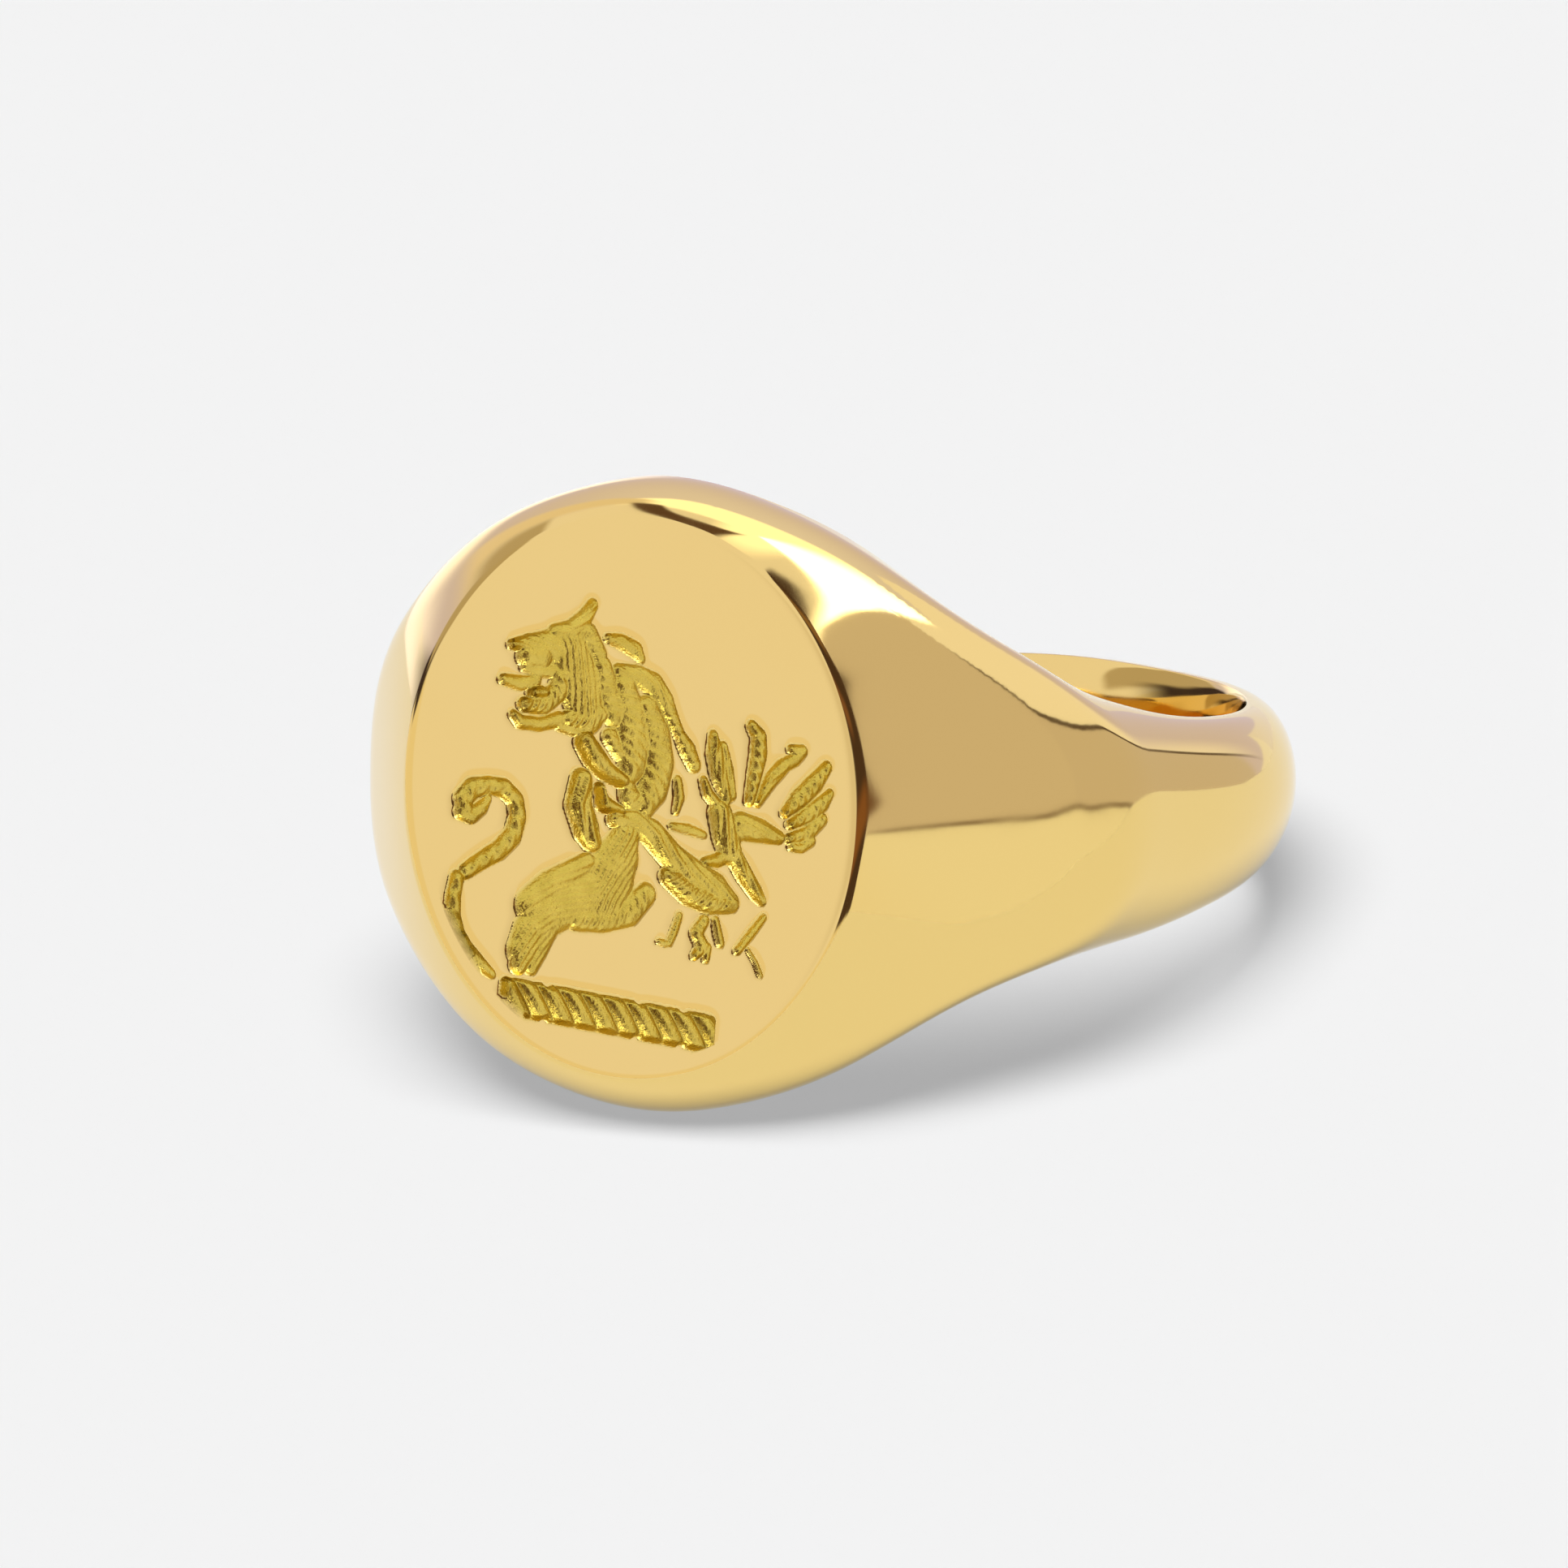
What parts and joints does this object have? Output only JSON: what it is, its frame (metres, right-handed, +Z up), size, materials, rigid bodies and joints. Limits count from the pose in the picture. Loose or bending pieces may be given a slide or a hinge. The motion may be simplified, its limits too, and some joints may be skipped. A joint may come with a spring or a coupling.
{
  "type": "signet ring",
  "caption": "Oval-faced signet ring with tapering shoulders, a rounded rear shank and a hand-engraved seal face, lying on its side.",
  "frame": {"origin": "centre of the finger hole: on the hole's axis, level with the middle of the seal face", "axes": "+Z up with the ring lying on its side as on a table; the seal face looks towards -Y and 18.44 degrees up, the finger hole's axis leans 18.44 degrees from +Z towards +Y, X is across the ring"},
  "size_m": [0.0212, 0.0217, 0.0141],
  "materials": {
    "polished_gold": "mirror-polished yellow gold with fine wear scratches",
    "gold_solder": "polished hard solder, a shade paler than the ring",
    "cut_gold": "hand-cut engraving with fine tool marks"
  },
  "bodies": {
    "root": {"head_and_shoulders": "polished_gold", "rear_shank": "polished_gold", "solder_seams": "gold_solder"}
  },
  "joints": []
}
